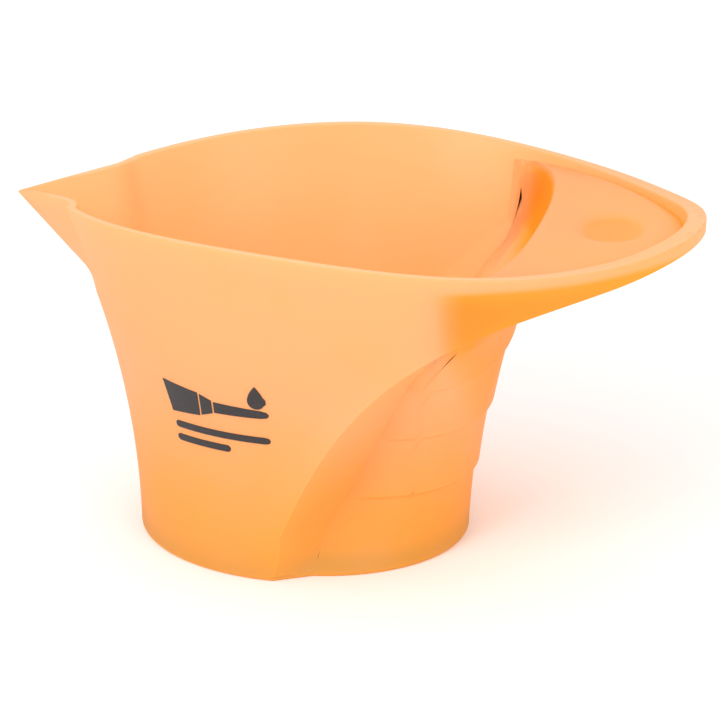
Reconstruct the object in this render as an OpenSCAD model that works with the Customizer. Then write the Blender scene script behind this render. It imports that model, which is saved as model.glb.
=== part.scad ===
// Hair colour mixing bowl: one thin moulding with a pouring spout and a thumb-rest handle,
// and a pad print in three islands on its side wall.
// The spout points to -X, the handle to +X, and +Z is up. The origin is on the table, at the base axis.

/* [Plan] */
// Half of the greatest width over the rim
half_w = 55; // [48:0.5:66]
// Distance of the widest place behind the base axis
widest_x = 18; // [10:0.5:24]
// Reach of the handle's nose behind the base axis
handle_reach = 87.8; // [80:0.1:106]
// Radius of the handle's nose, in plan
nose_r = 33; // [26:0.5:40]
// Reach of the front walls ahead of the base axis, where they would meet with no spout
bow_reach = 59.4; // [52:0.1:64]
// Reach of the spout's tip ahead of the base axis
spout_reach = 68.2; // [62:0.1:82]
// Distance ahead of the base axis at which the spout's flanks end
spout_root = 51.3; // [48:0.5:54]
// Half of the spout's width over the rim where its flanks end
spout_half_w = 14.4; // [11:0.5:15]
// Distance ahead of the base axis at which the shoulders behind the flanks meet the front walls
shoulder_x = 47.5; // [44:0.5:48.5]
// Reach of the oval base ahead of its axis
base_reach = 38.9; // [32:0.1:44]
// Half of the base's width over the two ridge corners
base_half_w = 35.2; // [28:0.1:42]
// Reach of the base behind its axis
base_rear = 37.2; // [31:0.1:42]

/* [Heights] */
// Height of the rim at its crown
rim_h = 81; // [78:0.5:98]
// Distance of the rim's crown ahead of the base axis
crown_ahead = 3; // [0:0.5:8]
// Height of the rim at the spout's tip
spout_h = 74.2; // [68:0.1:78]
// Height of the rim along the handle
handle_h = 76.6; // [68:0.1:78]
// Rise of the rim from the handle to its nose
nose_rise = 1.7; // [0:0.1:3]
// Height at which the spout's keel meets the front wall
keel_h = 54.5; // [46:0.5:62]
// Height over which the keel and the flanks grow out of the front wall
keel_fade = 11; // [4:1:18]

/* [Moulding] */
// Thickness of the walls
wall = 2; // [1.6:0.1:2.4]
// Thickness of the floor
floor_t = 2.4; // [2:0.1:3]
// Radius of the outer edge round the base
base_round = 0.9; // [0.7:0.1:2]
// Radius of the inner edge round the floor
floor_round = 5; // [3:0.5:7]
// Power of the walls' flare from the base to the rim
flare = 2; // [1.4:0.05:2.4]

/* [Handle] */
// Distance of the two ridges behind the base axis, at the base
ridge_x = 1.4; // [0:0.1:6]
// Height to which the ridges stand upright
ridge_foot = 7; // [4:0.5:10]
// Length over which the ridges climb towards the handle
ridge_run = 27.3; // [22:0.1:33]
// Length of the bevel behind each ridge at the base, along the bowl
bevel_l = 7.5; // [6:0.1:9]
// Width of the bevel behind each ridge at the base, across the bowl
bevel_w = 4.5; // [3:0.1:6]
// Extra width of the bevel half way up the ridge
bevel_dip = 11.5; // [4:0.5:14]
// Distance behind the base axis at which the rear wall meets the side walls
junction_x = 40.5; // [36:0.5:46]
// Distance of the deck's front edge behind the base axis
deck_x = 54; // [50:0.5:62]
// Drop of the thumb deck below the rim
deck_drop = 2; // [1.6:0.1:2.6]
// Rise of the deck above the groove beside the lip
deck_crown = 1; // [0.6:0.1:1.2]
// Width of the groove between the lip and the deck
groove_w = 0.8; // [0.5:0.1:1.2]
// Width of the lip round the nose
lip_w = 4.2; // [3.6:0.1:5.4]
// Height of the lip's outer band at the nose
lip_band = 2.8; // [2.2:0.1:3.6]
// Half-length of the oval thumb dimple, along the bowl
dimple_l = 9; // [7:0.5:10]
// Half-width of the thumb dimple
dimple_w = 12; // [9:0.5:14]
// Depth of the thumb dimple
dimple_d = 1.2; // [0.8:0.1:1.6]
// Distance of the dimple's centre behind the base axis
dimple_x = 68; // [66:0.5:82]

/* [Steps] */
// Height of the lowest step on the rear wall
step_h = 17; // [13:0.5:20]
// Height from one step to the next
step_pitch = 14.8; // [12:0.1:18]
// Width of each step
step_out = 0.9; // [0.6:0.1:1.1]

/* [Print] */
// Height of the print's centre above the table
print_h = 41; // [32:0.5:50]
// Bearing of the print's centre round the front wall, from the centre of the rim's front arc
print_bearing = 113; // [108:0.5:122]
// Length of the printed brush
brush_len = 26; // [20:0.5:30]
// Width of the printed brush's bristles
brush_w = 7.6; // [6:0.1:8]
// Radius of the printed drop
drop_r = 1.9; // [1.4:0.1:2.4]
// Length of the longer printed rule
rule_l = 24; // [16:0.5:28]
// Width of one printed rule
rule_w = 1.6; // [1:0.1:1.8]
// Distance of the upper rule below the brush's middle
rule_drop = 6.4; // [5.4:0.1:7.5]
// Thickness of the ink over the wall
ink_t = 0.14; // [0.1:0.02:0.2]
// Depth to which the ink keys into the wall
ink_key = 0.2; // [0.16:0.02:0.3]

/* [Hidden] */

// Plan arcs of the rim: the front side, the handle side, and the nose that joins them.
front_r = (pow(widest_x + bow_reach, 2) + half_w * half_w) / (2 * half_w);
nose_cx = handle_reach - nose_r;
rear_r = (pow(nose_cx - widest_x, 2) + half_w * half_w - nose_r * nose_r) / (2 * (half_w - nose_r));
nose_turn = atan2(rear_r - half_w, nose_cx - widest_x);
front_c = [widest_x, half_w - front_r];
rear_c = [widest_x, half_w - rear_r];
root_turn = acos((-shoulder_x - widest_x) / front_r);
bow_turn = 180 - asin((front_r - half_w) / front_r);
flank_turn = bow_turn - 5.5;
ridge_turn = acos((ridge_x - widest_x) / front_r);
junction_turn = acos((junction_x - widest_x) / rear_r);

// Levels.
deck_z = handle_h - deck_drop;
under_z = deck_z + deck_crown / 2 - wall;
ridge_top = ridge_foot
    + (handle_h - lip_band - ridge_foot) / (1 - exp(-(handle_reach - ridge_x) / ridge_run));
corner_z = 1.6;
row_gap = 0.09;
rear_end = 80;

function clamp(v) = max(0, min(1, v));
function mix(a, b, t) = a + (b - a) * t;
function ease(t) = let (c = clamp(t)) c * c * (3 - 2 * c);
function bearing(a) = [cos(a), sin(a)];
function unit(v) = v / norm(v);
function left_of(v) = [-v[1], v[0]];

// Height of the rim over a place along the bowl.
function rim_z(x) =
    x < -crown_ahead ? rim_h - (rim_h - spout_h) * pow((x + crown_ahead) / (spout_reach - crown_ahead), 2)
    : handle_h + (rim_h - handle_h) * pow(cos(90 * clamp((x + crown_ahead) / 75)), 2) + nose_lift(x);
function nose_lift(x) = nose_rise * pow(max(0, x - 72) / (handle_reach - 72), 2);

// Inset of the rounded edge at the foot of every outer wall.
function foot_inset(z) = z >= base_round ? 0
    : base_round - sqrt(base_round * base_round - pow(base_round - z, 2));

// Oval base outline of the front walls at a bearing.
function base_at(phi) = bearing(phi) / norm([cos(phi) / base_reach, sin(phi) / base_half_w]);

// Ridge: the lower edge of the side walls behind the base corner, as a height over x and back.
function ridge_z(x) = ridge_foot
    + (ridge_top - ridge_foot) * (1 - exp(-(x - ridge_x) / ridge_run)) + nose_lift(x);
function ridge_at(z) = z < ridge_foot ? ridge_x
    : ridge_x - ridge_run * ln(1 - (z - ridge_foot) / (ridge_top - ridge_foot));
function ridge_slope(x) = (ridge_top - ridge_foot) / ridge_run * exp(-(x - ridge_x) / ridge_run);
junction_z = ridge_z(junction_x);

// Side walls behind the ridge corner: half-width of the outer face over x and z.
corner_y = base_at(90)[1];
function rim_y(x) = x < widest_x ? front_c[1] + sqrt(front_r * front_r - pow(x - widest_x, 2))
    : rear_c[1] + sqrt(rear_r * rear_r - pow(x - widest_x, 2));
function lean(x) = (rim_y(ridge_x) - corner_y) * (1 - pow(clamp((x - ridge_x) / (handle_reach - ridge_x)), 2))
    + 0.2 * (x - ridge_x) * exp((ridge_x - x) / 6);
function side_drop(x, z) = lean(x) * (1 - pow(z / rim_z(x), flare));

// Rear wall: one plan curve at each height, from its apex at y = 0 to its end beside a ridge.
function rear_power(z) = 2 + 0.5 * clamp(z / deck_z);
function rear_apex(z) = let (t = z / deck_z) base_rear
    + (deck_x - 3 * step_out - base_rear) * t * (0.2 + 0.8 * t);
function bevel_bulge(z) = sin(180 * pow(clamp(z / junction_z), 1.1));
function rear_side_x(z) = let (t = clamp(z / junction_z), x = z < junction_z ? ridge_at(z) : junction_x)
    min(x + mix(bevel_l, 0.6, t) + 0.45 * bevel_dip * bevel_bulge(z), junction_x + 0.6);
function rear_side_y(z) = let (t = clamp(z / junction_z), x = z < junction_z ? ridge_at(z) : junction_x)
    rim_y(x) - side_drop(x, z) - mix(bevel_w, wall, t) - bevel_dip * bevel_bulge(z);
function step_below(z, k) = ease((z - step_h - k * step_pitch) / 0.6 + 0.5);
function steps_below(z) = step_out * (step_below(z, 0) + step_below(z, 1) + step_below(z, 2));
function rear_plain(z, f) =
    let (p = 2 / rear_power(z), k = pow(cos(rear_end), p), xs = rear_side_x(z), xa = rear_apex(z),
        x0 = (xs - k * xa) / (1 - k), b = rear_side_y(z) / pow(sin(rear_end), p), g = rear_end * clamp(f))
    [x0 + (xa - x0) * pow(cos(g), p), b * pow(sin(g), p)];
function rear_normal(z, f) = f < 0.01 ? [1, 0]
    : -left_of(unit(rear_plain(z, min(1, f + 0.02)) - rear_plain(z, f - 0.01)));
function rear(z, f, inset) = let (n = rear_normal(z, f), fade = 1 - pow(clamp(f), 8),
        q = rear_plain(z, f) + n * (steps_below(z) * fade - inset - foot_inset(z)))
    [q[0], max(0, q[1]), z];

// A station is one vertical slice of the +Y half:
// [kind, place, rim point, plan normal, share of the rear wall's curve at the base, the same at the deck,
// height of the ridge].
// Kinds: 0 spout, 1 front wall, 2 side wall with a ridge beside the rear wall, 3 handle.
spout_n = 7;
front_n = 15;
side_n = 13;
handle_n = 13;
nose_n = 5;
flank_part = 4 / 7;
function arc_station(kind, c, r, a, fb, fd, g) = [kind, a, c + r * bearing(a), bearing(a), fb, fd, g];
function side_station(x, t, g) =
    let (first = x < widest_x, c = first ? front_c : rear_c, r = first ? front_r : rear_r)
    arc_station(2, c, r, acos((x - widest_x) / r), 1 - 0.5 * t, 1, g);
foot_n = 3;
foot_step = 0.5;
ridge_start = ridge_x + foot_n * foot_step;
stations = concat(
    [for (i = [0:spout_n - 1])
        [0, i / spout_n, spout_free(i / spout_n, rim_h), [0, 1], 1, 1, 24]],
    [for (i = [0:front_n - 1]) let (a = mix(root_turn, ridge_turn + 0.2, i / (front_n - 1)))
        arc_station(1, front_c, front_r, a, 1, 1, corner_z + (24 - corner_z) * ease((a - ridge_turn) / 22))],
    [for (i = [0:foot_n - 1])
        side_station(ridge_x + i * foot_step, 0.02 * i, mix(corner_z, ridge_foot, i / foot_n))],
    [for (i = [0:side_n - 1])
        let (t = i / side_n, x = mix(ridge_start, junction_x, mix(t, t * t, 0.3)))
        side_station(x, 0.06 + 0.94 * t, ridge_z(x))],
    [for (i = [0:handle_n - 1]) let (t = i / handle_n, a = mix(junction_turn, nose_turn, t))
        arc_station(3, rear_c, rear_r, a, 0.5 - 0.32 * t, 1 - 0.72 * t,
            ridge_z(widest_x + rear_r * cos(a)))],
    [for (i = [0:nose_n]) let (t = i / nose_n, a = nose_turn * (1 - t))
        arc_station(3, [nose_cx, 0], nose_r, a, 0.18 * (1 - t), 0.28 * (1 - t),
            ridge_z(nose_cx + nose_r * cos(a)))]);

// Outer face of the front wall at an arc bearing and height, pushed in by an inset.
function front_wall(a, z, inset) =
    let (q = front_c + front_r * bearing(a), phi = atan2(q[1], q[0]), t = pow(z / rim_z(q[0]), flare),
        b = base_at(phi), p = mix(b, q, t), n = unit(mix(unit(b), bearing(a), t)))
    let (s = p - n * (inset + foot_inset(z))) [s[0], s[1], z];

// Outer face of the spout. At each height a straight flank leaves the keel, and a shoulder runs it out
// on the front wall. Both fade into the front wall where the keel meets it. A place is a share from the
// keel to the shoulder's end.
function front_plan(a, z) = let (p = front_wall(a, z, 0)) [p[0], p[1]];
function keel_at(z) =
    [mix(front_plan(bow_turn, keel_h)[0], -spout_reach, clamp((z - keel_h) / (spout_h - keel_h))), 0];
function flank_end(z) = mix(front_plan(flank_turn, keel_h), [-spout_root, spout_half_w],
    clamp((z - keel_h) / (rim_z(-spout_root) - keel_h)));
function spout_free(share, z) =
    let (k = keel_at(z), a = flank_end(z), b = front_plan(root_turn, z), r = 0.45 * norm(b - a),
        c = a + r * unit(a - k), d = b + r * unit(front_plan(root_turn + 0.5, z) - b),
        v = (share - flank_part) / (1 - flank_part), w = 1 - v)
    v <= 0 ? mix(k, a, share / flank_part)
        : w * w * w * a + 3 * v * w * w * c + 3 * v * v * w * d + v * v * v * b;
function spout_turn(share) = share <= flank_part ? mix(bow_turn, flank_turn, share / flank_part)
    : mix(flank_turn, root_turn, (share - flank_part) / (1 - flank_part));
function spout_wall(st, z, inset) =
    let (v = st[1], w = ease((z - keel_h) / keel_fade),
        low = front_wall(spout_turn(v), z, inset), q = spout_free(v, z),
        n = left_of(unit(spout_free(min(1, v + 0.02), z) - spout_free(max(0, v - 0.02), z))),
        r = v == 0 ? q - [inset / n[0], 0] : q - n * inset)
    [mix(low[0], r[0], w), max(0, mix(low[1], r[1], w)), z];

// Outer face of the side walls and of the handle's band.
function side_wall(st, z, inset) =
    let (q = st[2], s = q - st[3] * (inset + foot_inset(z)),
        drop = min(q[1], side_drop(min(q[0], handle_reach), z)))
    [s[0], max(0, s[1] - drop), z];

function wall_at(st, z, inset) = st[0] == 0 ? spout_wall(st, z, inset)
    : st[0] == 1 ? front_wall(st[1], z, inset) : side_wall(st, z, inset);
function top_of(st) = rim_z(st[2][0]);

// Height of the ridge on a station. Ahead of the ridge corner it only lays out the facets.
function ridge_of(st) = st[6];
function lip_of(st) = mix(wall, lip_w, ease((st[2][0] - junction_x) / (handle_reach - junction_x)));

// Thumb dimple, as a drop of the deck at a plan point.
function dimple(x, y) = dimple_d * ease(1.25 * (1 - norm([(x - dimple_x) / dimple_l, y / dimple_w])));
function on_deck(p, z) = [p[0], p[1], z - dimple(p[0], p[1])];

// Heights of the rows of facets on the rear wall, from the foot to the deck.
rear_rows = [for (z = [0, 0.25 * base_round, base_round, 9]) z];
step_rows = [for (k = [0:2]) for (d = [-0.35, 0.35, step_pitch / 2]) step_h + k * step_pitch + d];
function rows_up_to(top, low) = let (all = concat(rear_rows, step_rows), n = len(all))
    [for (k = [0:n - 1]) max(low + (low > 0 ? row_gap * k : 0), min(all[k], top - row_gap * (n - k)))];

// One station's outer profile, from the base edge up to the rim.
function outer_profile(st) =
    let (g = ridge_of(st), top = top_of(st), handle = st[0] == 3, share_b = st[4], share_d = st[5])
    let (end = handle ? under_z : g * (st[0] == 2 ? 1 : 0.8), zs = rows_up_to(end, 0))
    concat(
        [for (z = zs) st[0] < 2 ? wall_at(st, z, 0) : rear(z, mix(share_b, share_d, z / end), 0)],
        handle ? deck_under(st, g) : st[0] == 2 ? bevel(st, g)
            : [for (k = [0:6]) wall_at(st, mix(end, g, k / 7), 0)],
        [for (k = [0:6]) wall_at(st, max(mix(g, top, k / 12), top * k / 6), 0)]);

function bevel(st, g) = let (a = rear(g, 1, 0), b = wall_at(st, g, 0)) [for (k = [0:6]) mix(a, b, k / 7)];

function deck_under(st, g) =
    let (q = rear(under_z, st[5], 0), in = mix(wall, lip_of(st) + 1, ease((g - under_z + 3) / 4)),
        t = side_wall(st, under_z, in), low = min(g, top_of(st) - 1), s = side_wall(st, low, wall))
    concat([for (k = [0:4]) on_deck(mix(q, t, k / 4), under_z)], [mix(t, s, 0.5), s]);

// One station's inner profile, from the rim down to the floor's edge.
function inner_profile(st) =
    let (g = ridge_of(st), top = top_of(st), handle = st[0] == 3, lip = lip_of(st),
        share_b = st[4], share_d = st[5],
        inner_g = st[0] == 2 ? min(g + wall * sqrt(1 + pow(ridge_slope(st[2][0]), 2)), top - 9) : g,
        end = handle ? deck_z - 2.5 : inner_g, zs = rows_up_to(end, floor_t))
    concat(
        [wall_at(st, top, lip)],
        handle ? deck_top(st, top, lip) : [],
        handle ? [for (k = [1:3]) rear(mix(deck_z - 1, end, k / 4), share_d, wall)]
            : [for (k = [1:11]) wall_at(st, max(mix(top, inner_g, 0.5 + k / 22), top * (1 - k / 11)), wall)],
        [for (k = [len(zs) - 1:-1:0])
            let (z = zs[k], f = mix(share_b, share_d, (z - floor_t) / (end - floor_t)), r = floor_inset(z))
            st[0] < 2 ? wall_at(st, z, wall + r) : rear(z, f, wall + r)]);

function floor_inset(z) = let (d = floor_t + floor_round - z)
    d <= 0 ? 0 : floor_round - sqrt(floor_round * floor_round - min(d, floor_round) * min(d, floor_round));
function deck_top(st, top, lip) =
    let (edge = rear(deck_z, st[5], wall), n = rear_normal(deck_z, st[5]), b = edge + [n[0], n[1], 0],
        a = side_wall(st, deck_z, lip), room = norm(a - edge), groove = min(groove_w, 0.25 * room),
        high = deck_z + deck_crown * clamp(room / 2),
        c = side_wall(st, deck_z, lip + groove), d = side_wall(st, deck_z, lip + 1.4 * groove))
    concat([a, c], [for (k = [0:4]) on_deck(mix(d, b, k / 4), high)], [[edge[0], edge[1], high - 1]]);

// The whole ring of profiles: the +Y half from the spout's tip to the nose, then its mirror image back.
function mirror_y(list) = [for (p = list) [p[0], -p[1], p[2]]];
half_ring = [for (st = stations) concat(outer_profile(st), inner_profile(st))];
last = len(half_ring) - 1;
ring = concat(half_ring, [for (i = [last - 1:-1:1]) mirror_y(half_ring[i])]);

// A closed skin over a ring of profiles, with a fan over each open end.
module lofted_ring(profiles) {
    n = len(profiles);
    m = len(profiles[0]);
    points = concat([for (p = profiles) each p], [[0, 0, 0], [0, 0, floor_t]]);
    sides = [for (i = [0:n - 1]) for (k = [0:m - 2]) let (j = (i + 1) % n)
        each [[i * m + k, j * m + k, i * m + k + 1], [j * m + k, j * m + k + 1, i * m + k + 1]]];
    caps = [for (i = [0:n - 1]) let (j = (i + 1) % n)
        each [[n * m, j * m, i * m], [n * m + 1, i * m + m - 1, j * m + m - 1]]];
    polyhedron(points, concat(sides, caps), convexity = 10);
}

module bowl() {
    color([1.0, 0.68, 0.35, 0.9]) lofted_ring(ring);
}

// Place on the outer face of the -Y side: s along the wall towards the handle and t up it, both from the
// print's centre.
function outer_at(a, z, inset) = a > ridge_turn ? front_wall(a, z, inset)
    : side_wall(arc_station(2, front_c, front_r, a, 1, 1, 0), z, inset);
mm_per_degree = norm(outer_at(print_bearing + 2, print_h, 0) - outer_at(print_bearing - 2, print_h, 0)) / 4;
function on_wall(s, t, inset) = let (p = outer_at(print_bearing - s / mm_per_degree, print_h + t, inset))
    [p[0], -p[1], p[2]];

// One island of ink between a lower and an upper edge, each a list of [s, t], laid on the wall.
ink_rows = 4;
module ink(lower, upper) {
    n = len(lower);
    m = ink_rows + 1;
    sheet = [for (inset = [-ink_t, ink_key]) for (i = [0:n - 1]) for (j = [0:ink_rows])
        let (p = mix(lower[i], upper[i], j / ink_rows)) on_wall(p[0], p[1], inset)];
    back = n * m;
    skin = [for (i = [0:n - 2]) for (j = [0:ink_rows - 1]) let (a = i * m + j, b = a + m)
        each [[a, b + 1, b], [a, a + 1, b + 1],
            [back + a, back + b, back + b + 1], [back + a, back + b + 1, back + a + 1]]];
    long_edges = [for (i = [0:n - 2]) let (a = i * m, b = a + m, c = a + ink_rows, d = c + m)
        each [[a, b, back + b], [a, back + b, back + a], [c, back + d, d], [c, back + c, back + d]]];
    ends = [for (j = [0:ink_rows - 1]) let (c = back - m + j)
        each [[j, back + j + 1, j + 1], [j, back + j, back + j + 1],
            [c, c + 1, back + c + 1], [c, back + c + 1, back + c]]];
    polyhedron(sheet, concat(skin, long_edges, ends), convexity = 4);
}

// Places along the brush, from the bristles' tip: the ferrule's two ends, and the gaps beside it.
tip_s = -brush_len / 2;
ferrule_s = tip_s + 0.36 * brush_len;
grip_s = ferrule_s + 0.15 * brush_len;
print_gap = 0.5;

module print_brush() {
    bristles = [for (k = [0:8]) let (t = k / 8, s = mix(tip_s, ferrule_s, t), h = brush_w / 2)
        [[s + 1.6 * (1 - t), -h * (0.92 - 0.2 * t)], [s, h * (1 - 0.28 * t)]]];
    ferrule = [for (k = [0:3])
        let (t = k / 3, s = mix(ferrule_s + print_gap, grip_s - print_gap, t), h = mix(0.33, 0.2, t))
        [[s, -h * brush_w], [s, h * brush_w]]];
    grip = [for (k = [0:12])
        let (t = sin(7.5 * k), s = mix(grip_s, -tip_s, t),
            h = (1.3 - 0.4 * t) * sqrt(max(0.01, 1 - pow(t, 24))))
        [[s, -h], [s, h]]];
    color("black") for (edge = [bristles, ferrule, grip])
        ink([for (e = edge) e[0]], [for (e = edge) e[1]]);
}

module print_drop() {
    low = brush_w / 2 - drop_r - 0.6;
    half = [for (k = [0:12]) let (t = pow(k / 12, 2))
        [2.6 * drop_r * sqrt(t) * (1 - t) + 0.06, low + 2.9 * drop_r * t]];
    mid = -tip_s - 1.2 * drop_r;
    color("black") ink([for (h = half) [mid + h[0], h[1]]], [for (h = half) [mid - h[0], h[1]]]);
}

module print_rules() {
    bars = [[tip_s + 2, tip_s + 2 + rule_l, 0], [tip_s + 2, tip_s + 2 + 0.6 * rule_l, 1]];
    color("black") for (bar = bars) {
        r = rule_w / 2;
        c = -rule_drop - bar[2] * 2 * rule_w;
        ends = [for (k = [0:5]) [r * (1 - cos(18 * k)), r * max(0.1, sin(18 * k))]];
        edge = concat(
            [for (e = ends) [[bar[0] + e[0], c - e[1]], [bar[0] + e[0], c + e[1]]]],
            [for (k = [1:9]) let (s = mix(bar[0] + r, bar[1] - r, k / 10)) [[s, c - r], [s, c + r]]],
            [for (k = [5:-1:0]) let (e = ends[k]) [[bar[1] - e[0], c - e[1]], [bar[1] - e[0], c + e[1]]]]);
        ink([for (e = edge) e[0]], [for (e = edge) e[1]]);
    }
}

bowl();
print_brush();
print_drop();
print_rules();
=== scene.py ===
import math

import bpy
import numpy as np
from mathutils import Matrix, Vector


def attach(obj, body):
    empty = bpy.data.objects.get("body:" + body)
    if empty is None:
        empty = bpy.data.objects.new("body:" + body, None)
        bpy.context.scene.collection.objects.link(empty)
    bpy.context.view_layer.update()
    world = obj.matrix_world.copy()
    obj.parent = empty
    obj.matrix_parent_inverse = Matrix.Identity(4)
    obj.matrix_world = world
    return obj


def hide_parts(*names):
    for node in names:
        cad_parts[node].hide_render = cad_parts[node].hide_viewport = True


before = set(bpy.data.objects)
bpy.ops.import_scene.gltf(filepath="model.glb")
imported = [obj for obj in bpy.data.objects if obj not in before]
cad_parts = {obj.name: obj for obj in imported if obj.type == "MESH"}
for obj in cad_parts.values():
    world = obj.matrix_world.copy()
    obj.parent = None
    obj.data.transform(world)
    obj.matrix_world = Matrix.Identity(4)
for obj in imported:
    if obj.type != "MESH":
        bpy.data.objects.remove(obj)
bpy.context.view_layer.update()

# ---- Moulding -------------------------------------------------------------------------
# The bowl, its spout and its thumb rest are one shot of natural polypropylene tinted orange,
# about 2 mm thick, with a satin surface from a spark-eroded mould. The print is pad-printed on it
# later. Sizes here are in mm and angles in degrees.
half_w, widest_x, handle_reach, nose_r = 55.0, 18.0, 87.8, 33.0
bow_reach, spout_reach, spout_root, spout_half_w, shoulder_x = 59.4, 68.2, 51.3, 14.4, 47.5
base_reach, base_half_w, base_rear = 38.9, 35.2, 37.2
rim_h, crown_ahead, spout_h, handle_h, nose_rise = 81.0, 3.0, 74.2, 76.6, 1.7
keel_h, keel_fade = 54.5, 5.0
wall, floor_t, base_round, floor_round, flare = 2.0, 2.4, 0.9, 5.0, 2.0
ridge_x, ridge_foot, ridge_run = 1.4, 7.0, 27.3
bevel_l, bevel_w, bevel_dip, junction_x = 7.5, 4.5, 11.5, 40.5
deck_x, deck_drop, deck_crown, groove_w, lip_w, lip_band = 54.0, 2.0, 1.0, 0.8, 4.2, 2.8
dimple_l, dimple_w, dimple_d, dimple_x, dimple_edge = 9.0, 12.0, 1.2, 68.0, 2.4
step_h, step_pitch, step_out = 17.0, 14.8, 0.9
rim_round, deck_round, rear_end = 0.55, 1.3, 80.0


def clamp(v):
    return np.clip(v, 0.0, 1.0)


def mix(a, b, t):
    return a + (b - a) * t


def ease(t):
    c = clamp(t)
    return c * c * (3 - 2 * c)


def bearing(deg):
    return np.array([math.cos(math.radians(deg)), math.sin(math.radians(deg))])


def turn_to(cosine):
    return math.degrees(math.acos(cosine))


# The rim in plan: a front arc, a handle arc and the nose's arc, all tangent.
front_r = ((widest_x + bow_reach) ** 2 + half_w ** 2) / (2 * half_w)
nose_cx = handle_reach - nose_r
rear_r = ((nose_cx - widest_x) ** 2 + half_w ** 2 - nose_r ** 2) / (2 * (half_w - nose_r))
front_c = np.array([widest_x, half_w - front_r])
rear_c = np.array([widest_x, half_w - rear_r])
nose_turn = math.degrees(math.atan2(rear_r - half_w, nose_cx - widest_x))
root_turn = turn_to((-shoulder_x - widest_x) / front_r)
bow_turn = 180 - math.degrees(math.asin((front_r - half_w) / front_r))
flank_turn, flank_part = bow_turn - 5.5, 4 / 7
ridge_turn = turn_to((ridge_x - widest_x) / front_r)
junction_turn = turn_to((junction_x - widest_x) / rear_r)
deck_z = handle_h - deck_drop
under_z = deck_z + deck_crown / 2 - wall
ridge_run_out = 1 - math.exp((ridge_x - handle_reach) / ridge_run)
ridge_top = ridge_foot + (handle_h - lip_band - ridge_foot) / ridge_run_out


def nose_lift(x):
    return nose_rise * (max(0.0, x - 72) / (handle_reach - 72)) ** 2


def rim_z(x):
    if x < -crown_ahead:
        return rim_h - (rim_h - spout_h) * ((-x - crown_ahead) / (spout_reach - crown_ahead)) ** 2
    fall = math.cos(math.pi / 2 * min(1.0, (x + crown_ahead) / 75)) ** 2
    return handle_h + (rim_h - handle_h) * fall + nose_lift(x)


def ridge_z(x):
    return ridge_foot + (ridge_top - ridge_foot) * (1 - math.exp((ridge_x - x) / ridge_run)) + nose_lift(x)


junction_z = ridge_z(junction_x)


def ridge_at(z):
    rise = np.clip((z - ridge_foot) / (ridge_top - ridge_foot), 0, 0.99)
    return ridge_x - ridge_run * np.log(1 - rise)


def foot_inset(z):
    d = np.clip(base_round - z, 0, base_round)
    return base_round - np.sqrt(base_round ** 2 - d ** 2)


def floor_inset(z):
    d = np.clip(floor_t + floor_round - z, 0, floor_round)
    return floor_round - np.sqrt(floor_round ** 2 - d ** 2)


def rim_y(x):
    first = half_w - front_r + np.sqrt(np.maximum(front_r ** 2 - (x - widest_x) ** 2, 0))
    second = half_w - rear_r + np.sqrt(np.maximum(rear_r ** 2 - (x - widest_x) ** 2, 0))
    return np.where(x < widest_x, first, second)


def base_at(phi):
    c, s = math.cos(phi), math.sin(phi)
    return np.array([c, s]) / math.hypot(c / base_reach, s / base_half_w)


def lean(x):
    fade = 1 - clamp((x - ridge_x) / (handle_reach - ridge_x)) ** 2
    return (rim_y(ridge_x) - base_half_w) * fade + 0.2 * (x - ridge_x) * np.exp((ridge_x - x) / 6)


def side_drop(x, z, top):
    return lean(x) * (1 - (z / top) ** flare)


def rim_line(x):
    return np.vectorize(rim_z)(x)


def front_wall(turn, z, inset):
    q = front_c + front_r * bearing(turn)
    b = base_at(math.atan2(q[1], q[0]))
    t = ((z / rim_z(q[0])) ** flare)[:, None]
    n = mix(b / np.linalg.norm(b), bearing(turn), t)
    n /= np.linalg.norm(n, axis=1)[:, None]
    p = mix(b, q, t) - n * (inset + foot_inset(z))[:, None]
    return np.column_stack([p, z])


def side_wall(q, n, z, inset):
    s = q - n * (inset + foot_inset(z))[:, None]
    drop = np.minimum(q[1], side_drop(min(q[0], handle_reach), z, rim_z(q[0])))
    return np.column_stack([s[:, 0], np.maximum(0, s[:, 1] - drop), z])


# The spout: at each height a straight flank leaves the keel, and a shoulder runs it out on the
# front wall.
def front_plan(turn, z):
    return front_wall(turn, z, np.zeros(z.shape))[:, :2]


def spout_free(share, z):
    low = np.full(z.shape, keel_h)
    foot, foot_end = front_plan(bow_turn, low), front_plan(flank_turn, low)
    up = clamp((z - keel_h) / (spout_h - keel_h))[:, None]
    k = mix(foot, np.array([-spout_reach, 0]), up)
    rise = clamp((z - keel_h) / (rim_z(-spout_root) - keel_h))[:, None]
    a = mix(foot_end, np.array([-spout_root, spout_half_w]), rise)
    v = (share - flank_part) / (1 - flank_part)
    if v <= 0:
        return mix(k, a, share / flank_part)
    b, ahead = front_plan(root_turn, z), front_plan(root_turn + 0.5, z)
    r = 0.45 * np.linalg.norm(b - a, axis=1)[:, None]
    c = a + r * (a - k) / np.linalg.norm(a - k, axis=1)[:, None]
    d = b + r * (ahead - b) / np.linalg.norm(ahead - b, axis=1)[:, None]
    w = 1 - v
    return w ** 3 * a + 3 * v * w * w * c + 3 * v * v * w * d + v ** 3 * b


def spout_wall(share, z, inset):
    turn = mix(bow_turn, flank_turn, share / flank_part) if share <= flank_part else \
        mix(flank_turn, root_turn, (share - flank_part) / (1 - flank_part))
    low = front_wall(turn, z, inset)[:, :2]
    d = spout_free(max(0, share - 0.02), z) - spout_free(min(1, share + 0.02), z)
    n = np.column_stack([d[:, 1], -d[:, 0]]) / np.linalg.norm(d, axis=1)[:, None]
    push = np.column_stack([inset / n[:, 0], 0 * inset]) if share == 0 else n * inset[:, None]
    p = mix(low, spout_free(share, z) - push, ease((z - keel_h) / keel_fade)[:, None])
    return np.column_stack([p[:, 0], np.maximum(0, p[:, 1]), z])


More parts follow.
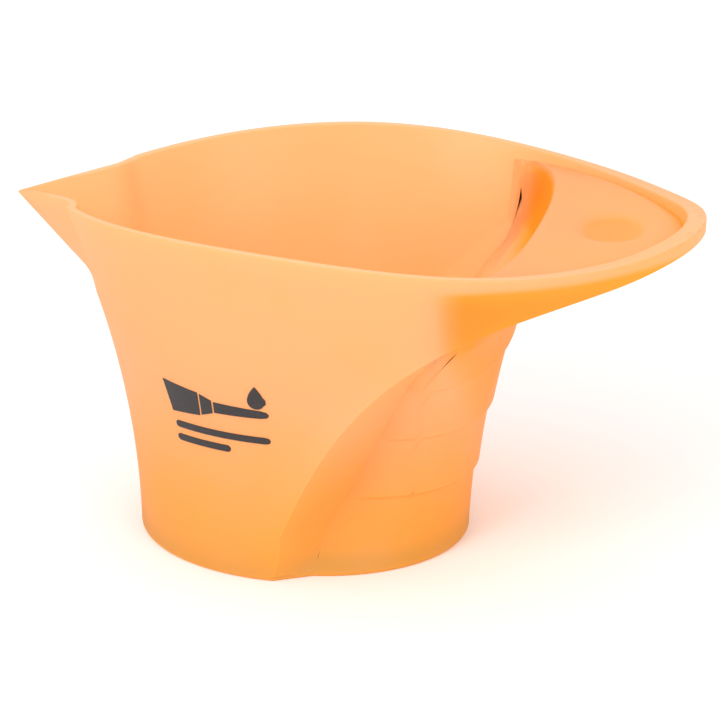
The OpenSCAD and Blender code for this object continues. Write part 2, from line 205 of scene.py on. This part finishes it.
# The rear wall: one plan curve at each height, from its apex to its end beside a ridge.
def bevel_bulge(z):
    return np.sin(math.pi * clamp(z / junction_z) ** 1.1)


def steps_below(z):
    return step_out * sum(ease((z - step_h - k * step_pitch) / 0.9 + 0.5) for k in range(3))


def rear_plain(z, f):
    t, power = clamp(z / junction_z), 2 / (2 + 0.5 * clamp(z / deck_z))
    x = np.minimum(ridge_at(z), junction_x)
    top = rim_line(x)
    xs = np.minimum(x + mix(bevel_l, 0.6, t) + 0.45 * bevel_dip * bevel_bulge(z), junction_x + 0.6)
    ys = rim_y(x) - side_drop(x, z, top) - mix(bevel_w, wall, t) - bevel_dip * bevel_bulge(z)
    rise = z / deck_z
    xa = base_rear + (deck_x - 3 * step_out - base_rear) * rise * (0.2 + 0.8 * rise)
    k = math.cos(math.radians(rear_end)) ** power
    x0 = (xs - k * xa) / (1 - k)
    g = np.radians(rear_end * clamp(f))
    return np.column_stack([x0 + (xa - x0) * np.cos(g) ** power,
                            ys / math.sin(math.radians(rear_end)) ** power * np.sin(g) ** power])


def rear_normal(z, f):
    d = rear_plain(z, np.minimum(1, f + 0.02)) - rear_plain(z, np.maximum(0, f - 0.01))
    n = np.column_stack([d[:, 1], -d[:, 0]]) / np.linalg.norm(d, axis=1)[:, None]
    n[np.broadcast_to(f, z.shape) < 0.011] = (1, 0)
    return n


def rear(z, f, inset):
    f = np.broadcast_to(f, z.shape)
    out = steps_below(z) * (1 - clamp(f) ** 8) - inset - foot_inset(z)
    p = rear_plain(z, f) + rear_normal(z, f) * out[:, None]
    return np.column_stack([p[:, 0], np.maximum(0, p[:, 1]), z])


# One station is a vertical slice of one half: its kind, its place, its rim point, its plan normal,
# its share of the rear wall's curve at the base and at the deck, and the height of the ridge there.
def arc_station(kind, c, r, turn, low, high, ridge):
    return (kind, turn, c + r * bearing(turn), bearing(turn), low, high, ridge)


def side_station(x, t, ridge):
    c, r = (front_c, front_r) if x < widest_x else (rear_c, rear_r)
    return arc_station("side", c, r, turn_to((x - widest_x) / r), 1 - 0.5 * t, 1, ridge)


spout_n, front_n, foot_n, side_n, handle_n, nose_n = 35, 70, 6, 60, 60, 26
corner_z, foot_reach = 1.2, 1.5
stations = [("spout", i / spout_n, spout_free(i / spout_n, np.array([rim_h]))[0], None, 1, 1, 24)
            for i in range(spout_n)]
for i in range(front_n):
    turn = mix(root_turn, ridge_turn + 0.04, i / (front_n - 1))
    stations.append(arc_station("front", front_c, front_r, turn, 1, 1,
                                corner_z + (24 - corner_z) * ease((turn - ridge_turn) / 22)))
for i in range(foot_n):
    t = i / foot_n
    stations.append(side_station(ridge_x + foot_reach * t, 0.06 * t, mix(corner_z, ridge_foot, t)))
for i in range(side_n):
    t = i / side_n
    x = mix(ridge_x + foot_reach, junction_x, mix(t, t * t, 0.3))
    stations.append(side_station(x, 0.06 + 0.94 * t, ridge_z(x)))
for i in range(handle_n):
    t = i / handle_n
    turn = mix(junction_turn, nose_turn, t)
    stations.append(arc_station("handle", rear_c, rear_r, turn, 0.5 - 0.32 * t, 1 - 0.72 * t,
                                ridge_z(widest_x + rear_r * math.cos(math.radians(turn)))))
for i in range(nose_n + 1):
    t = i / nose_n
    turn = nose_turn * (1 - t)
    nose_c = np.array([nose_cx, 0])
    stations.append(arc_station("handle", nose_c, nose_r, turn, 0.18 * (1 - t), 0.28 * (1 - t),
                                ridge_z(nose_cx + nose_r * math.cos(math.radians(turn)))))


def wall_at(st, z, inset):
    z = np.atleast_1d(np.asarray(z, float))
    inset = np.broadcast_to(np.asarray(inset, float), z.shape)
    if st[0] == "spout":
        return spout_wall(st[1], z, inset)
    return front_wall(st[1], z, inset) if st[0] == "front" else side_wall(st[2], st[3], z, inset)


def rows(low, high, n):
    z = np.linspace(low, high, 900)
    at_steps = sum(np.tanh((z - step_h - k * step_pitch) / 0.9) for k in range(3))
    crowd = z + 2.2 * np.tanh(z / 0.8) + 2.5 * at_steps
    return np.interp(np.linspace(crowd[0], crowd[-1], n), crowd, z)


def dimple(p):
    d = np.hypot((p[:, 0] - dimple_x) / dimple_l, p[:, 1] / dimple_w)
    return dimple_d * ease(dimple_edge * (1 - d))


def line(a, b, n):
    return mix(a, b, np.linspace(0, 1, n)[:, None])


def rounded(points, corner, reach, n=5):
    """Rounds the corner of a polyline at one index, keeping its number of points."""
    a, b, c = points[corner - n], points[corner], points[corner + n]
    step_a = b + (a - b) * min(1, reach / max(1e-6, np.linalg.norm(a - b)))
    step_c = b + (c - b) * min(1, reach / max(1e-6, np.linalg.norm(c - b)))
    for k in range(-n + 1, n):
        t = (k + n) / (2 * n)
        points[corner + k] = (1 - t) ** 2 * step_a + 2 * t * (1 - t) * b + t * t * step_c
    return points


low_n, mid_n, wall_n, arc_n, top_n = 96, 22, 40, 5, 5


def outer_profile(st):
    top, ridge = rim_z(st[2][0]), st[6]
    end = under_z if st[0] == "handle" else ridge if st[0] == "side" else 0.8 * ridge
    z = rows(0, end, low_n)
    if st[0] in ("spout", "front"):
        low = wall_at(st, z, 0)
        mid = wall_at(st, np.linspace(end, ridge, mid_n + 1)[:-1], 0)
    else:
        low = rear(z, mix(st[4], st[5], z / end), 0)
        if st[0] == "side":
            mid = line(low[-1], wall_at(st, ridge, 0)[0], mid_n + 1)[:-1]
        else:
            lip = mix(wall, lip_w, ease((st[2][0] - junction_x) / (handle_reach - junction_x)))
            tuck = mix(wall, lip + 1, ease((ridge - under_z + 3) / 4))
            t = wall_at(st, under_z, tuck)[0]
            s = wall_at(st, min(ridge, top - 1), wall)[0]
            deck = line(low[-1], t, mid_n - 7)
            deck[:, 2] -= dimple(deck)
            mid = np.vstack([deck, line(t, s, 5)[1:], line(s, wall_at(st, ridge, 0)[0], 5)[1:-1]])
    share = np.linspace(0, 1, wall_n)
    up = wall_at(st, np.maximum(mix(ridge, top - rim_round, share / 2), (top - rim_round) * share), 0)
    arc = np.radians(np.linspace(0, 90, arc_n + 1)[1:])
    rim = wall_at(st, top - rim_round * (1 - np.sin(arc)), rim_round * (1 - np.cos(arc)))
    return np.vstack([low, mid, up, rim])


def inner_profile(st):
    top, ridge = rim_z(st[2][0]), st[6]
    handle = st[0] == "handle" or (st[0] == "side" and st[2][0] > junction_x - wall)
    lip = mix(wall, lip_w, ease((st[2][0] - junction_x) / (handle_reach - junction_x)))
    flat = wall_at(st, np.full(top_n, top), np.linspace(rim_round, lip - rim_round, top_n + 2)[1:-1])
    arc = np.radians(np.linspace(0, 90, arc_n + 1))
    rim = wall_at(st, top - rim_round * (1 - np.cos(arc)), lip - rim_round * (1 - np.sin(arc)))
    if handle:
        zed = np.array([deck_z])
        edge, foot = rear(zed, st[5], wall)[0], wall_at(st, deck_z, lip)[0]
        room = float(np.linalg.norm(foot - edge))
        groove, high = min(groove_w, 0.25 * room), deck_crown * clamp(room / 2)
        far = wall_at(st, deck_z, lip + groove)[0]
        brink = wall_at(st, deck_z, lip + 1.4 * groove)[0]
        deck = line(brink, edge, 26)
        deck[:, 2] += high - dimple(deck)
        wall_rows = np.vstack([line(rim[-1], foot, 7)[1:], line(foot, far, 4)[1:],
                               line(far, deck[0], 6)[1:-1], deck])
        wall_rows = rounded(wall_rows, 12, 0.5, 3)
        end = deck_z - 4
        zs = np.linspace(deck_z + high, end, mid_n + 1)[1:]
        mid = rear(zs, st[5], wall)
        both = np.vstack([wall_rows, mid])
        both = rounded(both, len(wall_rows) - 1, deck_round, 6)
        wall_rows, mid = both[:len(wall_rows)], both[len(wall_rows):]
        z = rows(floor_t, end, low_n)[::-1]
        low = rear(z, mix(st[4], st[5], (z - floor_t) / (end - floor_t)), wall + floor_inset(z))
        return np.vstack([flat, rim, wall_rows, mid, low])
    slope = (ridge_top - ridge_foot) / ridge_run * math.exp((ridge_x - st[2][0]) / ridge_run)
    inner_ridge = min(ridge + wall * math.hypot(1, slope), top - 9) if st[0] == "side" else ridge + floor_t
    share, rim_low = np.linspace(0, 1, 40)[1:], top - rim_round
    zs = np.maximum(mix(rim_low, inner_ridge, 0.5 + share / 2), rim_low * (1 - share))
    wall_rows = wall_at(st, zs, wall)
    if st[0] == "side":
        z = rows(floor_t, inner_ridge, low_n)[::-1]
        low = rear(z, mix(st[4], st[5], (z - floor_t) / (inner_ridge - floor_t)), wall + floor_inset(z))
        mid = line(wall_rows[-1], low[0], mid_n + 2)[1:-1]
    else:
        end = mix(floor_t, inner_ridge, 0.8)
        z = rows(floor_t, end, low_n)[::-1]
        low = wall_at(st, z, wall + floor_inset(z))
        zs = np.linspace(inner_ridge, end, mid_n + 2)[1:-1]
        mid = wall_at(st, zs, wall + floor_inset(zs))
    return np.vstack([flat, rim, wall_rows, mid, low])


half = [np.vstack([outer_profile(st), inner_profile(st)]) for st in stations]
mirror = np.array([1, -1, 1])
ring = np.array(half + [p * mirror for p in half[-2:0:-1]])
ring_n, row_n = ring.shape[:2]
floor_rings = 12
base_mid, floor_mid = np.zeros(3), np.array([0, 0, floor_t])
caps_low = np.array([mix(base_mid, ring[:, 0], k / floor_rings) for k in range(1, floor_rings)])
caps_high = np.array([mix(floor_mid, ring[:, -1], k / floor_rings) for k in range(1, floor_rings)])
index = np.arange(ring_n * row_n).reshape(ring_n, row_n)
low_at = ring_n * row_n + np.arange((floor_rings - 1) * ring_n).reshape(floor_rings - 1, ring_n)
high_at = low_at + low_at.size
low_mid, high_mid = high_at[-1, -1] + 1, high_at[-1, -1] + 2
faces = []
for i in range(ring_n):
    j = (i + 1) % ring_n
    faces += [(index[i, k], index[j, k], index[j, k + 1], index[i, k + 1])
              for k in range(row_n - 1)]
    base_col = [low_at[k, i] for k in range(floor_rings - 1)] + [index[i, 0]]
    base_next = [low_at[k, j] for k in range(floor_rings - 1)] + [index[j, 0]]
    faces += [(base_col[k], base_next[k], base_next[k + 1], base_col[k + 1])
              for k in range(floor_rings - 1)]
    faces.append((low_mid, base_next[0], base_col[0]))
    top_col = [high_at[k, i] for k in range(floor_rings - 1)] + [index[i, -1]]
    top_next = [high_at[k, j] for k in range(floor_rings - 1)] + [index[j, -1]]
    faces += [(top_col[k], top_col[k + 1], top_next[k + 1], top_next[k])
              for k in range(floor_rings - 1)]
    faces.append((high_mid, top_col[0], top_next[0]))
points = np.vstack([ring.reshape(-1, 3), caps_low.reshape(-1, 3), caps_high.reshape(-1, 3),
                    base_mid, floor_mid])
mesh = bpy.data.meshes.new("moulding")
mesh.from_pydata((points * 0.001).tolist(), [], [tuple(int(v) for v in f) for f in faces])
mesh.validate()
moulding = bpy.data.objects.new("moulding", mesh)
bpy.context.scene.collection.objects.link(moulding)

# Smooth over the broad walls; the ridges and the steps stay crisp, and so does the one narrow column
# of facets at each junction.
flat_column = next(i for i, st in enumerate(stations) if st[0] == "handle") - 1
per_column = len(faces) // ring_n
smooth = [i // per_column not in (flat_column, ring_n - 1 - flat_column) for i in range(len(faces))]
mesh.polygons.foreach_set("use_smooth", smooth)
mesh.set_sharp_from_angle(angle=math.radians(34))
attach(moulding, "root")
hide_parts("bowl")


def linear(code):
    """A hex sRGB colour as linear RGBA."""
    parts = [int(code[k:k + 2], 16) / 255 for k in (1, 3, 5)]
    return [c / 12.92 if c <= 0.04045 else ((c + 0.055) / 1.055) ** 2.4 for c in parts] + [1]


def add(kind, settings=None, inputs=None):
    """Adds a node to the tree in hand. An input is a value, a socket, or a node for its first output."""
    node = tree.nodes.new("ShaderNode" + kind)
    for name, value in (settings or {}).items():
        setattr(node, name, value)
    for name, value in (inputs or {}).items():
        if isinstance(value, bpy.types.Node):
            value = next(socket for socket in value.outputs if socket.enabled)
        if isinstance(value, bpy.types.NodeSocket):
            tree.links.new(value, node.inputs[name])
        else:
            node.inputs[name].default_value = value
    return node


# Satin translucent polypropylene. Light passes through the wall, so a little over half of what is seen
# comes from behind it. Painted shade deepens the colour low in the cup and under the deck, where less
# light comes through, with some random mottling.
polypropylene = bpy.data.materials.new("tinted_polypropylene")
polypropylene.use_nodes = True
tree = polypropylene.node_tree
tree.nodes.clear()
times, plus, larger = {"operation": "MULTIPLY"}, {"operation": "ADD"}, {"operation": "MAXIMUM"}
eased, tints = {"interpolation_type": "SMOOTHSTEP"}, {"data_type": "RGBA"}
metres = add("TexCoord").outputs["Object"]
place = add("Mapping", {}, {"Vector": metres, "Scale": (1000, 1000, 1000)})
axes = add("SeparateXYZ", {}, {"Vector": place}).outputs
facing = add("SeparateXYZ", {}, {"Vector": add("NewGeometry").outputs["Normal"]}).outputs["Z"]

# Painted shadow of the deck: the skirt below it, from x 38 to 46 mm, is mixed deeper.
behind = add("MapRange", eased, {"Value": axes["X"], "From Min": 38, "From Max": 46})
below = add("MapRange", eased, {"Value": axes["Z"], "From Min": deck_z + 0.7, "From Max": deck_z - 1.2})
deck_shadow = add("Math", times, {0: behind, 1: below})
# Painted shade: the colour deepens towards the bottom of the cup, up to three quarters of the way.
low_shade = add("MapRange", eased, {"Value": axes["Z"], "From Min": 46, "From Max": 4, "To Max": 0.75})
clouds = add("TexNoise", {}, {"Vector": place, "Scale": 0.045, "Detail": 3})
cloudy = add("Math", {"operation": "MULTIPLY_ADD"}, {0: clouds, 1: 0.5, 2: -0.25})
# The mix factor is painted shade plus random mottling of the tint.
shade_and_mottle = add("Math", plus, {0: add("Math", larger, {0: deck_shadow, 1: low_shade}), 1: cloudy})
skin = add("Mix", tints, {0: shade_and_mottle, 6: linear("#ffc28c"), 7: linear("#ffbb40")})
glow_tint = add("Mix", tints, {0: shade_and_mottle, 6: linear("#ffd8a0"), 7: linear("#ffcc2c")})
# The painted deck shadow also pulls the colour towards a darker orange.
deck_shadow_deepening = add("Math", times, {0: deck_shadow, 1: 0.6})
skin = add("Mix", tints, {0: deck_shadow_deepening, 6: skin, 7: linear("#ff9c30")})

# Painted light: upward-facing faces of the rim, above the deck, are mixed paler, for the light its thin
# top edge lets out.
upward = add("MapRange", eased, {"Value": facing, "From Min": 0.55, "From Max": 0.9})
high_up = add("MapRange", eased, {"Value": axes["Z"], "From Min": deck_z + 1.3, "From Max": deck_z + 1.9})
rim_light = add("Math", times, {0: add("Math", times, {0: upward, 1: high_up}), 1: 0.5})
skin = add("Mix", tints, {0: rim_light, 6: skin, 7: linear("#ffe2c4")})

# Specks of dust and pigment, up to half a millimetre across, at most one in a 9 mm cell.
cells = add("TexVoronoi", {}, {"Vector": place, "Scale": 0.11}).outputs["Distance"]
speck = add("MapRange", eased, {"Value": cells, "From Min": 0.028, "From Max": 0.018})
patches = add("TexNoise", {}, {"Vector": place, "Scale": 0.05, "Detail": 0})
dusty = add("MapRange", eased, {"Value": patches, "From Min": 0.5, "From Max": 0.56})
dust = add("Math", times, {0: add("Math", times, {0: speck, 1: dusty}), 1: 0.6})
skin = add("Mix", tints, {0: dust, 6: skin, 7: linear("#6b4a32")})

# Grey scuffs on the lip at the handle's end, where the bowl is set down and stacked.
outermost = add("MapRange", eased,
                {"Value": axes["X"], "From Min": handle_reach - 9, "From Max": handle_reach - 1})
flattened = add("Mapping", {}, {"Vector": place, "Scale": (1, 1, 3)})
scratches = add("TexNoise", {}, {"Vector": flattened, "Scale": 1 / 2, "Detail": 6})
worn = add("MapRange", eased, {"Value": scratches, "From Min": 0.52, "From Max": 0.66})
scuffs = add("Math", times, {0: add("Math", times, {0: outermost, 1: worn}), 1: 0.4})
skin = add("Mix", tints, {0: scuffs, 6: skin, 7: linear("#b0906e")})

# The spark-eroded satin is about 0.05 mm across; it is drawn at 0.3 mm so that it can be seen. The
# broad swell, some 17 mm across, is the wall's slight sink as it cools.
grains = add("TexNoise", {}, {"Vector": place, "Scale": 3.2, "Detail": 2})
satin = add("Bump", {}, {"Strength": 0.1, "Distance": 0.00006, "Height": grains})
swells = add("TexNoise", {}, {"Vector": place, "Scale": 0.06, "Detail": 1})
relief = add("Bump", {}, {"Strength": 0.18, "Distance": 0.0006, "Height": swells, "Normal": satin})
rubbed = add("TexNoise", {}, {"Vector": place, "Scale": 0.12, "Detail": 4})
gloss = add("Math", {"operation": "MULTIPLY_ADD"}, {0: rubbed, 1: 0.14, 2: 0.27})
satin_face = add("BsdfPrincipled", {},
                 {"Base Color": skin, "Roughness": gloss, "IOR": 1.49, "Normal": relief})
light_through = add("BsdfTranslucent", {}, {"Color": glow_tint, "Normal": relief})
plastic = add("MixShader", {}, {0: 0.55, 1: satin_face, 2: light_through})
add("OutputMaterial", {}, {"Surface": plastic})
mesh.materials.append(polypropylene)

# ---- Print ----------------------------------------------------------------------------
# Black pad-printing ink: a soft silicone pad lays it down a little unevenly, so it is satin with faint
# paler patches. It is raised 0.14 mm here so that it is a closed solid; the real film is far thinner.
ink = bpy.data.materials.new("black_pad_ink")
ink.use_nodes = True
tree = ink.node_tree
tree.nodes.clear()
metres = add("TexCoord").outputs["Object"]
place = add("Mapping", {}, {"Vector": metres, "Scale": (1000, 1000, 1000)})
patches = add("TexNoise", {}, {"Vector": place, "Scale": 0.9, "Detail": 5})
black = add("Mix", tints, {0: patches, 6: linear("#161314"), 7: linear("#2c2829")})
grains = add("TexNoise", {}, {"Vector": place, "Scale": 1 / 0.25, "Detail": 2})
grain = add("Bump", {}, {"Strength": 0.15, "Distance": 0.00005, "Height": grains})
uneven = add("TexNoise", {}, {"Vector": place, "Scale": 1.5, "Detail": 4})
gloss = add("Math", {"operation": "MULTIPLY_ADD"}, {0: uneven, 1: 0.2, 2: 0.38})
film = add("BsdfPrincipled", {}, {"Base Color": black, "Roughness": gloss, "IOR": 1.5, "Normal": grain})
add("OutputMaterial", {}, {"Surface": film})
for name in ("print_brush", "print_drop", "print_rules"):
    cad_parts[name].data.materials.clear()
    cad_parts[name].data.materials.append(ink)

# ---- Studio ---------------------------------------------------------------------------
# A sheet of white paper to stand on, an even white surround, a soft key light from the front left and a
# weaker one from the right. The camera stands half a metre off, a little above the rim.
floor_mesh = bpy.data.meshes.new("floor")
floor_mesh.from_pydata([(-3, -3, 0), (3, -3, 0), (3, 3, 0), (-3, 3, 0)], [], [(0, 1, 2, 3)])
floor = bpy.data.objects.new("floor", floor_mesh)
bpy.context.scene.collection.objects.link(floor)
paper = bpy.data.materials.new("white_paper")
paper.use_nodes = True
tree = paper.node_tree
tree.nodes.clear()
metres = add("TexCoord").outputs["Object"]
place = add("Mapping", {}, {"Vector": metres, "Scale": (1000, 1000, 1000)})
fibres = add("TexNoise", {}, {"Vector": place, "Scale": 0.8, "Detail": 4})
tooth = add("Bump", {}, {"Strength": 0.05, "Distance": 0.0001, "Height": fibres})
mottle = add("TexNoise", {}, {"Vector": place, "Scale": 1 / 50, "Detail": 3})
white = add("Mix", tints, {0: mottle, 6: linear("#f8f8f8"), 7: linear("#fcfcfc")})
sheet = add("BsdfPrincipled", {}, {"Base Color": white, "Roughness": 0.9, "Normal": tooth})
add("OutputMaterial", {}, {"Surface": sheet})
floor_mesh.materials.append(paper)

world = bpy.data.worlds.new("studio")
bpy.context.scene.world = world
world.use_nodes = True
world.node_tree.nodes["Background"].inputs["Color"].default_value = (1, 1, 1, 1)
world.node_tree.nodes["Background"].inputs["Strength"].default_value = 1.05


def softbox(name, at, to, size, power):
    light = bpy.data.lights.new(name, "AREA")
    light.shape, light.size, light.energy = "DISK", size, power
    lamp = bpy.data.objects.new(name, light)
    lamp.location = at
    lamp.rotation_euler = (Vector(to) - Vector(at)).to_track_quat("-Z", "Y").to_euler()
    bpy.context.scene.collection.objects.link(lamp)


softbox("key", (-0.45, -0.9, 0.75), (0, 0, 0.04), 0.6, 6)
softbox("fill", (0.8, -0.7, 0.35), (0, 0, 0.04), 0.6, 2.5)

camera = bpy.data.objects.new("camera", bpy.data.cameras.new("camera"))
camera.data.lens, camera.data.sensor_width = 120, 36
azimuth, elevation, distance = math.radians(13.6), math.radians(20.5), 0.54
target = Vector((0.01215, 0, 0.04))
level = math.cos(elevation)
back = Vector((level * math.sin(azimuth), -level * math.cos(azimuth), math.sin(elevation)))
camera.location = target + back * distance
camera.rotation_euler = back.to_track_quat("Z", "Y").to_euler()
bpy.context.scene.collection.objects.link(camera)
bpy.context.scene.camera = camera
bpy.context.scene.view_settings.view_transform = "Standard"
